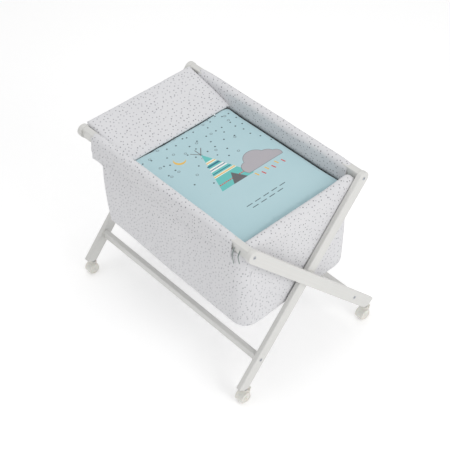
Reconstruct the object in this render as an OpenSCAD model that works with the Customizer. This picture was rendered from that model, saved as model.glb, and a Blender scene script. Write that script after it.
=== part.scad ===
// Folding scissor-frame bassinet with a hanging fabric basket.
// +X points to the foot end, -Y to the near side, +Z up; the origin is on the floor under the middle.

/* [Stand] */
// Length over the outer faces of the outer legs
stand_l = 886; // [800:1:960]
// Height of the scissor pivot above the floor
pivot_z = 394; // [380:1:410]
// Lean of each leg from the vertical with the stand open
leg_angle = 41.8; // [39:0.1:44]
// Distance from the pivot to a top rail's bolt
rail_r = 374; // [360:1:390]
// Distance from the pivot to a stretcher's bolt
stretcher_r = 324; // [300:1:330]
// Height of the level cut under each leg
foot_z = 56; // [54:1:60]
// Width of the level cut under each leg
foot_flat = 23; // [22:1:26]
// Width of a leg board
leg_w = 46; // [44:1:50]
// Thickness of a leg board
leg_t = 18; // [17:0.5:20]
// Gap between two crossing legs
leg_gap = 2; // [1.6:0.1:3]
// Rounding of the long edges of the boards
edge_r = 3; // [2:0.5:4]

/* [Rails] */
// Thickness of a top rail
rail_t = 25; // [24:1:28]
// Height of a top rail
rail_h = 39; // [36:1:42]
// Thickness of a lower stretcher
stretcher_t = 20; // [18:1:22]
// Height of a lower stretcher
stretcher_h = 33; // [30:1:36]

/* [Fasteners] */
// Radius of the frame bolts
bolt_r = 3; // [2.5:0.5:3.5]
// Radius of the heads of the frame bolts
bolt_head_r = 6; // [5.5:0.5:6.5]
// Radius of the pivot bolts
pivot_r = 4; // [3.5:0.5:4.5]
// Running clearance of a shaft in its hole
play = 0.05; // [0.03:0.01:0.08]

/* [Casters] */
// Radius of a caster wheel
wheel_r = 20; // [19:0.5:21]
// Distance of the wheel's centre from the swivel axis
trail = 8; // [6:1:9]
// Width over both wheels of a caster
wheels_w = 32; // [30:1:34]
// Distance of a swivel axis from the middle of the stand
stem_y = 284; // [281:1:286]
// Radius of a caster stem
stem_r = 4; // [3.5:0.5:4.5]

/* [Basket] */
// Thickness of a padded fabric wall
wall_t = 6; // [5:0.5:7]
// Outer half width of the basket at its bottom and sides
basket_half_w = 262; // [255:1:266]
// Height of the underside of the basket
basket_z = 311; // [305:1:320]
// Thickness of the padding round a top rail
sleeve_pad = 6; // [5:0.5:8]
// Head end of the basket at its bottom
basket_head_x = -302; // [-308:1:-292]
// Foot end of the basket
basket_foot_x = 400; // [395:1:401]
// Thickness of the padded rolls at the head and foot ends
roll_d = 42; // [38:1:46]

/* [Bedding] */
// Thickness of the plywood base
board_t = 8; // [6:1:10]
// Thickness of the mattress
mattress_t = 60; // [50:1:70]
// Half width of the mattress and of the quilt
bed_half_w = 226; // [220:1:228]
// Height of the top of the quilt
quilt_z = 637; // [628:1:638]
// Thickness of the quilt
quilt_t = 45; // [35:1:55]

/* [Hidden] */
$fn = 64;
outer_x = stand_l / 2 - leg_t;
inner_x = outer_x - leg_gap - leg_t;
rail_y = rail_r * sin(leg_angle);
rail_z = pivot_z + rail_r * cos(leg_angle);
stretcher_y = stretcher_r * sin(leg_angle);
stretcher_z = pivot_z - stretcher_r * cos(leg_angle);
leg_drop = pivot_z - foot_z;
flat_end_y = leg_drop * tan(leg_angle) - leg_w / 2 / cos(leg_angle) + foot_flat;
leg_low = flat_end_y * sin(leg_angle) + leg_drop * cos(leg_angle);
cut = 1;  // how far a cutter reaches past the face that it opens

// Frame bolts, barrel nuts and dowels
bolt_fit = 0.2;
bolt_head_h = 3;
bolt_sink = 2.2;
bolt_reach = 34;
bolt_l = leg_t - bolt_sink + bolt_reach - 2;
hex_r = 3;
hex_depth = 2.4;
nut_r = 5;
nut_l = 18;
nut_x = 24;
dowel_r = 3;
dowel_l = 28;
dowel_in_leg = 10;
dowel_drop = 11;

// Pivot bolts, their threaded inserts and the washers between the legs
insert_r = 6.5;
insert_l = 12;
pivot_head_r = 8;
pivot_head_h = 3;
pivot_head_gap = 0.3;
washer_r = 11;
washer_gap = 0.3;

// Casters
stem_in = 28;
stem_low = 43;
stem_bottom_gap = 1;
collar_r = 8;
collar_h = 4;
neck_r = 11.5;
neck_top = foot_z - collar_h - 1;
neck_low = wheel_r + 4;
hood_r = wheel_r + 3.5;
hood_side = 1;
hood_lean = 38;
hood_hole_r = 1.3;
hood_hole_angle = 42;
cavity_r = wheel_r + 1;
web_t = 5;
web_r = wheel_r - 3;
web_gap = 0.5;
axle_r = 2;
wheel_edge_r = 2;
dish_r0 = 8;
dish_r1 = 16;
dish_depth = 1.2;

// Brake lever on the foot-end casters
brake_y = 14;
brake_z = 36;
brake_w = 13;
brake_pin_r = 1;
brake_barrel_r = 1.6;
pedal_l = 12;
pedal_t = 2;
pedal_tilt = 20;
ear_t = 2.4;
ear_gap = 0.4;
ear_h = 6;
ear_l = 12;

// Basket and bedding
soft_gap = 0.6;
near_sleeve = [-354, 358];
far_sleeve = [-380, 360];
flap_drop = 62;
flap_rise = 3;
sleeve_r = 17;
sleeve_w = rail_t + 2 * sleeve_pad + 6;
sleeve_h = rail_h + 2 * sleeve_pad;
rail_play = 0.4;
floor_t = 4;
head_lean = 52;
foot_corner = 40;
roll_short = 4;
head_roll_r = 15;
bed_gap = 1;
bed_r = 50;
quilt_head_x = -225;
panel_fold_x = -348;
panel_foot_x = -195;
panel_head_x = -408;

FRAME_A = ["leg_a_foot", "leg_a_head", "rail_near", "stretcher_far", "frame_a_bolts",
    "frame_a_barrel_nuts", "frame_a_dowels", "pivot_insert_foot", "frame_a_stems", "sleeve_near"];
FRAME_B = ["leg_b_foot", "leg_b_head", "rail_far", "stretcher_near", "frame_b_bolts",
    "frame_b_barrel_nuts", "frame_b_dowels", "pivot_insert_head", "frame_b_stems", "sleeve_far"];
PIVOT = ["pivot_bolt_foot", "pivot_bolt_head", "pivot_washer_foot", "pivot_washer_head"];
CASTERS = ["housing_near_foot", "housing_near_head", "housing_far_foot", "housing_far_head",
    "wheels_near_foot", "wheels_near_head", "wheels_far_foot", "wheels_far_head",
    "axle_near_foot", "axle_near_head", "axle_far_foot", "axle_far_head",
    "brake_near_foot", "brake_far_foot"];
SOFT = ["side_wall_near", "side_wall_far", "foot_wall", "foot_roll", "head_wall", "head_roll",
    "basket_floor", "base_board", "mattress", "duvet", "quilt", "head_panel"];

WOOD = "ivory";
STEEL = "silver";
CREAM = "linen";
CLOTH = "whitesmoke";

// ---------- shared shapes ----------

// A rectangle centred on the origin with round corners, made of exact arcs
module round_rect(a, b, r) {
    square([a - 2 * r, b], center = true);
    square([a, b - 2 * r], center = true);
    for (sx = [-1, 1], sy = [-1, 1])
        translate([sx * (a / 2 - r), sy * (b / 2 - r)])
            circle(r);
}

// A bar along +X from x0 to x1, t thick along Y and h high along Z
module bar_x(x0, x1, t, h, r) {
    translate([x0, 0, 0])
        rotate([90, 0, 90])
            linear_extrude(x1 - x0)
                round_rect(t, h, r);
}

// A cylinder along +X from x0 to x1
module rod_x(x0, x1, r) {
    translate([x0, 0, 0])
        rotate([0, 90, 0])
            cylinder(h = x1 - x0, r = r);
}

// Places children on frame A's rail axis, stretcher axis or pivot axis
module at_rail_a() { translate([0, -rail_y, rail_z]) children(); }
module at_stretcher_a() { translate([0, stretcher_y, stretcher_z]) children(); }
module at_pivot() { translate([0, 0, pivot_z]) children(); }

// Frame B is frame A turned half a turn about the vertical
module as_frame_b() { rotate([0, 0, 180]) children(); }

// ---------- frames ----------

// The board of a leg with its inner face at x = 0 and its outer face at x = leg_t; its low end is sawn
// square, then cut level where the caster sits
module leg_board() {
    difference() {
        at_pivot()
            rotate([leg_angle, 0, 0])
                translate([leg_t / 2, 0, 0]) {
                    translate([0, 0, -leg_low])
                        linear_extrude(leg_low + rail_r)
                            round_rect(leg_t, leg_w, edge_r);
                    translate([0, 0, rail_r])
                        rotate([0, 90, 0])
                            rotate_extrude()
                                intersection() {
                                    round_rect(leg_w, leg_t, edge_r);
                                    translate([0, -leg_t / 2])
                                        square([leg_w, leg_t]);
                                }
                }
        translate([-leg_t, -stem_y * 2, foot_z - leg_low])
            cube([leg_t * 3, stem_y * 4, leg_low]);
    }
}

// The holes that every leg has: two bolts, two dowels and the caster stem
module leg_holes() {
    for (joint = [0, 1])
        translate([0, joint == 0 ? -rail_y : stretcher_y, joint == 0 ? rail_z : stretcher_z]) {
            rod_x(-cut, leg_t + cut, bolt_r + bolt_fit);
            rod_x(leg_t - bolt_sink, leg_t + cut, bolt_head_r + bolt_fit);
            translate([0, 0, -dowel_drop])
                rod_x(-cut, dowel_in_leg, dowel_r);
        }
    translate([leg_t / 2, stem_y, foot_z - cut])
        cylinder(h = stem_in + cut, r = stem_r);
}

module outer_leg() {
    difference() {
        leg_board();
        leg_holes();
        at_pivot() rod_x(-cut, insert_l, insert_r);
    }
}

module inner_leg() {
    difference() {
        leg_board();
        leg_holes();
        at_pivot() rod_x(-cut, leg_t + cut, pivot_r + play);
    }
}

// Frame A: its foot leg is the outer one and its head leg the inner one
module leg_a_foot() { color(WOOD) translate([outer_x, 0, 0]) outer_leg(); }
module leg_a_head() { color(WOOD) translate([-inner_x, 0, 0]) mirror([1, 0, 0]) inner_leg(); }
module leg_b_head() { color(WOOD) as_frame_b() translate([outer_x, 0, 0]) outer_leg(); }
module leg_b_foot() {
    color(WOOD)
        as_frame_b()
            translate([-inner_x, 0, 0])
                mirror([1, 0, 0])
                    inner_leg();
}

// A hole of the given depth into a face at x whose outward normal is end, -1 or 1
module hole_in(x, end, depth, r) {
    rod_x(min(x + end * cut, x - end * depth), max(x + end * cut, x - end * depth), r);
}

// Holes in both ends of a cross bar that runs from -inner_x to outer_x
module bar_end_holes(h) {
    for (end = [-1, 1]) {
        x = end < 0 ? -inner_x : outer_x;
        hole_in(x, end, bolt_reach, bolt_r + bolt_fit);
        translate([0, 0, -dowel_drop])
            hole_in(x, end, dowel_l - dowel_in_leg, dowel_r);
        translate([x - end * nut_x, 0, -h / 2 - cut])
            cylinder(h = h / 2 + cut + nut_l / 2, r = nut_r);
    }
}

module cross_bar(t, h) {
    difference() {
        bar_x(-inner_x, outer_x, t, h, edge_r + 1);
        bar_end_holes(h);
    }
}

module rail_near() { color(WOOD) at_rail_a() cross_bar(rail_t, rail_h); }
module rail_far() { color(WOOD) as_frame_b() at_rail_a() cross_bar(rail_t, rail_h); }
module stretcher_far() { color(WOOD) at_stretcher_a() cross_bar(stretcher_t, stretcher_h); }
module stretcher_near() {
    color(WOOD)
        as_frame_b()
            at_stretcher_a()
                cross_bar(stretcher_t, stretcher_h);
}

// ---------- fasteners ----------

// A socket-head bolt along -X whose head seats at x = 0
module frame_bolt() {
    difference() {
        union() {
            rod_x(-bolt_l, bolt_head_h / 2, bolt_r);
            rod_x(0, bolt_head_h, bolt_head_r);
        }
        translate([bolt_head_h - hex_depth, 0, 0])
            rotate([0, 90, 0])
                cylinder(h = hex_depth + cut, r = hex_r, $fn = 6);
    }
}

module frame_bolts() {
    for (joint = [0, 1])
        translate([0, joint == 0 ? -rail_y : stretcher_y, joint == 0 ? rail_z : stretcher_z]) {
            translate([outer_x + leg_t - bolt_sink, 0, 0])
                frame_bolt();
            translate([-inner_x - leg_t + bolt_sink, 0, 0])
                mirror([1, 0, 0])
                    frame_bolt();
        }
}

module frame_barrel_nuts() {
    for (joint = [0, 1], end = [-1, 1])
        translate([0, joint == 0 ? -rail_y : stretcher_y, joint == 0 ? rail_z : stretcher_z])
            translate([end < 0 ? -inner_x + nut_x : outer_x - nut_x, 0, 0])
                difference() {
                    translate([0, 0, -nut_l / 2])
                        cylinder(h = nut_l, r = nut_r);
                    rod_x(-nut_r - cut, nut_r + cut, bolt_r);
                }
}

module frame_dowels() {
    for (joint = [0, 1], end = [-1, 1])
        translate([0, joint == 0 ? -rail_y : stretcher_y, joint == 0 ? rail_z : stretcher_z])
            translate([end < 0 ? -inner_x - dowel_in_leg : outer_x + dowel_in_leg - dowel_l, 0, -dowel_drop])
                rod_x(0, dowel_l, dowel_r);
}

module frame_a_bolts() { color(STEEL) frame_bolts(); }
module frame_b_bolts() { color(STEEL) as_frame_b() frame_bolts(); }
module frame_a_barrel_nuts() { color(STEEL) frame_barrel_nuts(); }
module frame_b_barrel_nuts() { color(STEEL) as_frame_b() frame_barrel_nuts(); }
module frame_a_dowels() { color("burlywood") frame_dowels(); }
module frame_b_dowels() { color("burlywood") as_frame_b() frame_dowels(); }

module pivot_bolt() {
    at_pivot()
        difference() {
            union() {
                rod_x(inner_x - pivot_head_h, inner_x - pivot_head_gap, pivot_head_r);
                rod_x(inner_x - pivot_head_h / 2, outer_x + insert_l - 1, pivot_r);
            }
            translate([inner_x - pivot_head_h - cut, 0, 0])
                rotate([0, 90, 0])
                    cylinder(h = hex_depth + cut, r = hex_r, $fn = 6);
        }
}

module pivot_insert() {
    at_pivot()
        difference() {
            rod_x(outer_x, outer_x + insert_l, insert_r);
            rod_x(outer_x - cut, outer_x + insert_l + cut, pivot_r + play);
        }
}

module pivot_washer() {
    at_pivot()
        difference() {
            rod_x(outer_x - leg_gap + washer_gap, outer_x - washer_gap, washer_r);
            rod_x(outer_x - leg_gap - cut, outer_x + cut, pivot_r);
        }
}

module pivot_bolt_foot() { color(STEEL) pivot_bolt(); }
module pivot_bolt_head() { color(STEEL) as_frame_b() pivot_bolt(); }
module pivot_insert_foot() { color("goldenrod") pivot_insert(); }
module pivot_insert_head() { color("goldenrod") as_frame_b() pivot_insert(); }
module pivot_washer_foot() { color(STEEL) pivot_washer(); }
module pivot_washer_head() { color(STEEL) as_frame_b() pivot_washer(); }

// ---------- casters ----------

// Swivel axis of the caster under frame A's outer leg, or its inner leg
module at_far_foot() { translate([outer_x + leg_t / 2, stem_y, 0]) children(); }
module at_far_head() { translate([-inner_x - leg_t / 2, stem_y, 0]) children(); }
module at_near_head() { translate([-outer_x - leg_t / 2, -stem_y, 0]) children(); }
module at_near_foot() { translate([inner_x + leg_t / 2, -stem_y, 0]) children(); }

// Steel stem with the collar that bears on the level cut of the leg
module stem() {
    translate([0, 0, stem_low])
        cylinder(h = foot_z + stem_in - stem_low, r = stem_r);
    translate([0, 0, foot_z - collar_h])
        cylinder(h = collar_h, r = collar_r);
}

module frame_a_stems() {
    color(STEEL) {
        at_far_foot() stem();
        at_far_head() stem();
    }
}

module frame_b_stems() {
    color(STEEL) {
        at_near_foot() stem();
        at_near_head() stem();
    }
}

module at_axle() { translate([0, -trail, wheel_r]) children(); }

// The two ears that hold the pin of a brake lever
module brake_ears() {
    for (side = [-1, 1])
        translate([side * ((brake_w + ear_t) / 2 + ear_gap) - ear_t / 2, brake_y + ear_h / 2 - ear_l, brake_z])
            translate([0, 0, -ear_h / 2])
                cube([ear_t, ear_l, ear_h]);
}

// Hood, web and neck of a twin-wheel caster, with ears for a brake lever if it has one
module housing(brake) {
    difference() {
        union() {
            intersection() {
                at_axle() rod_x(-wheels_w / 2 - hood_side, wheels_w / 2 + hood_side, hood_r);
                at_axle()
                    rotate([hood_lean, 0, 0])
                        translate([-wheels_w, -2 * hood_r, 1])
                            cube([2 * wheels_w, 4 * hood_r, 2 * hood_r]);
            }
            at_axle() rod_x(-web_t / 2, web_t / 2, web_r);
            translate([0, 0, neck_low])
                cylinder(h = neck_top - neck_low, r = neck_r);
            if (brake) brake_ears();
        }
        at_axle() rod_x(web_t / 2, wheels_w, cavity_r);
        at_axle() rod_x(-wheels_w, -web_t / 2, cavity_r);
        at_axle() rod_x(-wheels_w, wheels_w, axle_r + play);
        translate([0, 0, stem_low - stem_bottom_gap])
            cylinder(h = foot_z, r = stem_r + play);
        at_axle()
            rotate([hood_hole_angle, 0, 0])
                translate([0, 0, hood_r - 3])
                    cylinder(h = 3 + cut, r = hood_hole_r);
        if (brake)
            translate([0, brake_y, brake_z])
                rod_x(-brake_w / 2 - ear_t - ear_gap, brake_w / 2 + ear_t + ear_gap, brake_pin_r);
    }
}

// Half section of a wheel: its radius along X and its width along Y, with a dished ring in both faces
module wheel_section(t) {
    difference() {
        intersection() {
            round_rect(2 * wheel_r, t, wheel_edge_r);
            translate([axle_r, -t / 2])
                square([wheel_r - axle_r, t]);
        }
        for (face = [-1, 1])
            translate([dish_r0, face * t / 2 - dish_depth])
                square([dish_r1 - dish_r0, 2 * dish_depth]);
    }
}

module wheel_pair() {
    t = (wheels_w - web_t) / 2 - web_gap;
    for (side = [-1, 1])
        translate([side * (wheels_w - t) / 2, 0, 0])
            at_axle()
                rotate([0, 90, 0])
                    rotate_extrude()
                        wheel_section(t);
}

module axle() { at_axle() rod_x(-wheels_w / 2 + 1, wheels_w / 2 - 1, axle_r); }

// Brake lever: a barrel on its pin with a pedal that points away from the neck
module brake_lever() {
    translate([0, brake_y, brake_z]) {
        rod_x(-brake_w / 2 - ear_t, brake_w / 2 + ear_t, brake_pin_r - play);
        rod_x(-brake_w / 2, brake_w / 2, brake_barrel_r);
        rotate([pedal_tilt, 0, 0])
            translate([1 - brake_w / 2, ear_gap, -pedal_t / 2])
                cube([brake_w - 2, pedal_l - ear_gap, pedal_t]);
    }
}

module housing_near_foot() { color(CREAM) at_near_foot() housing(true); }
module housing_near_head() { color(CREAM) at_near_head() housing(false); }
module housing_far_foot() { color(CREAM) at_far_foot() housing(true); }
module housing_far_head() { color(CREAM) at_far_head() housing(false); }
module wheels_near_foot() { color(CREAM) at_near_foot() wheel_pair(); }
module wheels_near_head() { color(CREAM) at_near_head() wheel_pair(); }
module wheels_far_foot() { color(CREAM) at_far_foot() wheel_pair(); }
module wheels_far_head() { color(CREAM) at_far_head() wheel_pair(); }
module axle_near_foot() { color(STEEL) at_near_foot() axle(); }
module axle_near_head() { color(STEEL) at_near_head() axle(); }
module axle_far_foot() { color(STEEL) at_far_foot() axle(); }
module axle_far_head() { color(STEEL) at_far_head() axle(); }
module brake_near_foot() { color("lightgray") at_near_foot() brake_lever(); }
module brake_far_foot() { color("lightgray") at_far_foot() brake_lever(); }

// ---------- basket ----------

// Padded tunnel of fabric round a rail
module sleeve(span) {
    difference() {
        bar_x(span[0], span[1], sleeve_w, sleeve_h, sleeve_r);
        bar_x(span[0] - cut, span[1] + cut, rail_t + rail_play, rail_h + rail_play, edge_r + 1);
    }
}

module sleeve_near() { color(CLOTH) translate([0, -rail_y, rail_z]) sleeve(near_sleeve); }
module sleeve_far() { color(CLOTH) translate([0, rail_y, rail_z]) sleeve(far_sleeve); }

wall_top = rail_z - sleeve_h / 2 - soft_gap;
head_top_x = basket_head_x - head_lean;
head_knee_z = wall_top - flap_drop;
foot_side_x = basket_foot_x - foot_corner;
foot_wall_top = quilt_z - 12;
wall_inner_y = basket_half_w - wall_t - soft_gap;
floor_head_x = basket_head_x + 2 * wall_t;

// Side wall: a wide band under the sleeve with the narrower basket side below it
module side_wall(span) {
    rotate([90, 0, 0])
        linear_extrude(wall_t)
            polygon([
                [span[0], wall_top],
                [span[0], head_knee_z + flap_rise],
                [basket_head_x, head_knee_z],
                [basket_head_x, basket_z],
                [foot_side_x, basket_z],
                [foot_side_x, wall_top],
            ]);
}

module side_wall_near() {
    color(CLOTH)
        translate([0, -basket_half_w + wall_t, 0])
            side_wall(near_sleeve);
}

module side_wall_far() {
    color(CLOTH)
        translate([0, basket_half_w, 0])
            side_wall(far_sleeve);
}

// Plan of the basket's foot end, drawn from x = 0 where the side walls stop
module foot_outline(inset) {
    reach = foot_corner - inset;
    round_rect(2 * reach, 2 * (basket_half_w - inset), reach - 1);
}

// Foot wall with round vertical corners that meet the side walls
module foot_wall() {
    color(CLOTH)
        translate([foot_side_x, 0, basket_z])
            linear_extrude(foot_wall_top - basket_z)
                difference() {
                    foot_outline(0);
                    foot_outline(wall_t);
                    translate([-2 * foot_corner, -basket_half_w - cut])
                        square([2 * foot_corner + soft_gap, 2 * basket_half_w + 2 * cut]);
                }
}

// A padded roll along Y over the bed's width
module roll(r) {
    rotate([90, 0, 0])
        cylinder(h = 2 * (bed_half_w - roll_short), r = r, center = true);
}

// Padded roll along the top of the foot wall
module foot_roll() {
    color(CLOTH)
        translate([basket_foot_x - roll_d / 2, 0, foot_wall_top + roll_d / 2 + 2])
            roll(roll_d / 2);
}

// Head wall, upright to the knee and leaning out above it
module head_wall() {
    lean_top = head_top_x + head_roll_r - wall_t;
    color(CLOTH)
        translate([0, wall_inner_y, 0])
            rotate([90, 0, 0])
                linear_extrude(2 * wall_inner_y)
                    polygon([
                        [basket_head_x, basket_z],
                        [basket_head_x + wall_t, basket_z],
                        [basket_head_x + wall_t, head_knee_z],
                        [lean_top + wall_t, quilt_z + 1],
                        [lean_top, quilt_z + 1],
                        [basket_head_x, head_knee_z],
                    ]);
}

// Padded roll along the top of the head wall
module head_roll() {
    color(CLOTH)
        translate([head_top_x, 0, quilt_z + head_roll_r + 2])
            roll(head_roll_r);
}

// Fabric floor between the walls, round at the foot end as the foot wall is
module basket_floor() {
    color(CLOTH)
        translate([0, 0, basket_z])
            linear_extrude(floor_t) {
                translate([floor_head_x, -wall_inner_y])
                    square([foot_side_x - floor_head_x, 2 * wall_inner_y]);
                translate([foot_side_x, 0])
                    foot_outline(wall_t + soft_gap);
            }
}

// ---------- bedding ----------

// A flat slab centred on Y with round vertical corners
module slab(x0, x1, half_w, z0, t, r) {
    translate([(x0 + x1) / 2, 0, z0])
        linear_extrude(t)
            round_rect(x1 - x0, 2 * half_w, r);
}

bed_head_x = basket_head_x + 16;
bed_foot_x = basket_foot_x - roll_d - 4;
board_z = basket_z + floor_t;
mattress_z = board_z + board_t + bed_gap;
duvet_z = mattress_z + mattress_t + bed_gap;
duvet_t = quilt_z - quilt_t - duvet_z - bed_gap;

module base_board() {
    color("burlywood")
        slab(bed_head_x, bed_foot_x, bed_half_w + 8, board_z, board_t, bed_r - 10);
}

module mattress() {
    color("white")
        slab(bed_head_x, bed_foot_x, bed_half_w, mattress_z, mattress_t, bed_r);
}

module duvet() {
    color("white")
        slab(bed_head_x, bed_foot_x, bed_half_w, duvet_z, duvet_t, bed_r);
}

module quilt() {
    color("powderblue")
        slab(quilt_head_x, bed_foot_x, bed_half_w, quilt_z - quilt_t, quilt_t, bed_r / 2);
}

// Turned-down panel that slopes up from the quilt onto the head roll
module head_panel() {
    color(CLOTH)
        translate([0, bed_half_w, 0])
            rotate([90, 0, 0])
                linear_extrude(2 * bed_half_w)
                    polygon([
                        [panel_foot_x, quilt_z + soft_gap],
                        [panel_fold_x, quilt_z + 2 * head_roll_r + 4],
                        [panel_head_x, quilt_z + 50],
                        [panel_head_x, quilt_z + 61],
                        [panel_fold_x, quilt_z + 48],
                        [panel_foot_x, quilt_z + 12],
                    ]);
}

// ---------- output ----------

leg_a_foot();
leg_a_head();
rail_near();
stretcher_far();
frame_a_bolts();
frame_a_barrel_nuts();
frame_a_dowels();
pivot_insert_foot();
frame_a_stems();
sleeve_near();
leg_b_foot();
leg_b_head();
rail_far();
stretcher_near();
frame_b_bolts();
frame_b_barrel_nuts();
frame_b_dowels();
pivot_insert_head();
frame_b_stems();
sleeve_far();
pivot_bolt_foot();
pivot_bolt_head();
pivot_washer_foot();
pivot_washer_head();
housing_near_foot();
housing_near_head();
housing_far_foot();
housing_far_head();
wheels_near_foot();
wheels_near_head();
wheels_far_foot();
wheels_far_head();
axle_near_foot();
axle_near_head();
axle_far_foot();
axle_far_head();
brake_near_foot();
brake_far_foot();
side_wall_near();
side_wall_far();
foot_wall();
foot_roll();
head_wall();
head_roll();
basket_floor();
base_board();
mattress();
duvet();
quilt();
head_panel();
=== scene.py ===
"""Looks for the folding bassinet: fabric, bedding, materials, light and camera, built round the CAD frame."""

import math

import bmesh
import bpy
import numpy as np
from mathutils import Matrix, Vector, noise


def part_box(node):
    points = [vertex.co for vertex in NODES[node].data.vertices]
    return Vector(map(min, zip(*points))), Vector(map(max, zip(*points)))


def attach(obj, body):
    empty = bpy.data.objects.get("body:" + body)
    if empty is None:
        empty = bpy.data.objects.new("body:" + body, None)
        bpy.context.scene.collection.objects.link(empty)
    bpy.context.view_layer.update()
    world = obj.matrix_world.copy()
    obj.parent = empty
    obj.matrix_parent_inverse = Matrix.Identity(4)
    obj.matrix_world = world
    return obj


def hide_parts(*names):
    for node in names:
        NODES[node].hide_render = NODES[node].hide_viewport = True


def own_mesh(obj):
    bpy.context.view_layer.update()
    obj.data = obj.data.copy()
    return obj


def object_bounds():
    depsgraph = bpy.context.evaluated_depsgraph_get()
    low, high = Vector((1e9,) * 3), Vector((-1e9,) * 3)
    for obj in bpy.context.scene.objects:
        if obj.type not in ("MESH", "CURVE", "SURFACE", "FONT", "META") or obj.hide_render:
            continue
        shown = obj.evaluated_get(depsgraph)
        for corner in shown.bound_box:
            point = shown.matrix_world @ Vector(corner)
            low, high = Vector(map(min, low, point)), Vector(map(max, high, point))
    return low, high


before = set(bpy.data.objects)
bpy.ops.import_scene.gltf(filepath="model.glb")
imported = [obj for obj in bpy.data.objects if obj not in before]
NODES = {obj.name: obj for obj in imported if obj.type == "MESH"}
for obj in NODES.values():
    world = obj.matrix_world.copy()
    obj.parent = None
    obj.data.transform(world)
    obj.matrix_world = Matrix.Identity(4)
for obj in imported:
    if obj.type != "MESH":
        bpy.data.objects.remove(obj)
CAD_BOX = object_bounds()
SCENE = bpy.context.scene


# ---------- places taken from the frame ----------

def middle(node):
    low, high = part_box(node)
    return (low + high) / 2


RAIL_NEAR = middle("rail_near")
RAIL_FAR = middle("rail_far")
SLEEVES = {-1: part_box("sleeve_near"), 1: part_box("sleeve_far")}
FOOT_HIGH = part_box("foot_wall")[1]
ROLL_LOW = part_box("foot_roll")[0]
HEAD_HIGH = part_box("head_wall")[1]
HEAD_ROLL = middle("head_roll")
FLOOR_LOW, FLOOR_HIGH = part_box("basket_floor")
PANEL_LOW, PANEL_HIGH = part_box("head_panel")
QUILT_LOW, QUILT_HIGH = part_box("quilt")
DUVET_LOW, DUVET_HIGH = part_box("duvet")
MATTRESS_LOW, MATTRESS_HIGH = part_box("mattress")
BASKET_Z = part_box("side_wall_near")[0].z
PIVOT_Z = middle("pivot_bolt_foot").z
LEG_LEAN = math.atan2(-RAIL_NEAR.y, RAIL_NEAR.z - PIVOT_Z)


def half_width(node):
    """Half of a node's thickness across the stand."""
    low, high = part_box(node)
    return (high.y - low.y) / 2


# ---------- camera, floor and light ----------

def make_camera():
    """A camera at the photographed view, turned by yaw, pitch and roll."""
    place = Vector((2.2464, -1.8684, 3.1077))
    yaw, pitch, roll = (math.radians(a) for a in (50.078, 43.419, -2.860))
    forward = Vector((-math.sin(yaw) * math.cos(pitch), math.cos(yaw) * math.cos(pitch), -math.sin(pitch)))
    right = forward.cross(Vector((0, 0, 1))).normalized()
    up = right.cross(forward)
    turned_right = math.cos(roll) * right + math.sin(roll) * up
    turned_up = math.cos(roll) * up - math.sin(roll) * right
    turn = Matrix((turned_right, turned_up, -forward)).transposed()
    camera = bpy.data.objects.new("camera", bpy.data.cameras.new("camera"))
    camera.matrix_world = Matrix.Translation(place) @ turn.to_4x4()
    camera.data.sensor_width = 36
    camera.data.lens = 91.394
    SCENE.collection.objects.link(camera)
    SCENE.camera = camera


def area_light(name, place, target, size, power, colour=(1, 1, 1)):
    lamp = bpy.data.lights.new(name, "AREA")
    lamp.shape = "DISK"
    lamp.size = size
    lamp.energy = power
    lamp.color = colour
    obj = bpy.data.objects.new(name, lamp)
    obj.location = place
    obj.rotation_euler = (Vector(target) - Vector(place)).to_track_quat("-Z", "Y").to_euler()
    SCENE.collection.objects.link(obj)


def make_studio():
    world = bpy.data.worlds.new("studio")
    world.use_nodes = True
    world.node_tree.nodes["Background"].inputs["Color"].default_value = (1, 1, 1, 1)
    world.node_tree.nodes["Background"].inputs["Strength"].default_value = 0.67
    SCENE.world = world
    SCENE.view_settings.view_transform = "Standard"
    area_light("key", (3.4, 0.2, 2.2), (0, 0, 0.5), 1.8, 30, (1.0, 0.99, 0.98))
    area_light("fill", (-0.8, -2.8, 2.4), (0, 0, 0.5), 2.4, 2, (0.97, 0.98, 1.0))
    area_light("top", (-0.4, 0.1, 3.4), (0, 0, 0.6), 2.2, 21)
    bpy.ops.mesh.primitive_plane_add(size=14, location=(0, 0, CAD_BOX[0][2] - 0.0005))
    floor = bpy.context.object
    floor.name = "studio_floor"
    floor.data.materials.append(floor_material())


# ---------- materials ----------

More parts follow.
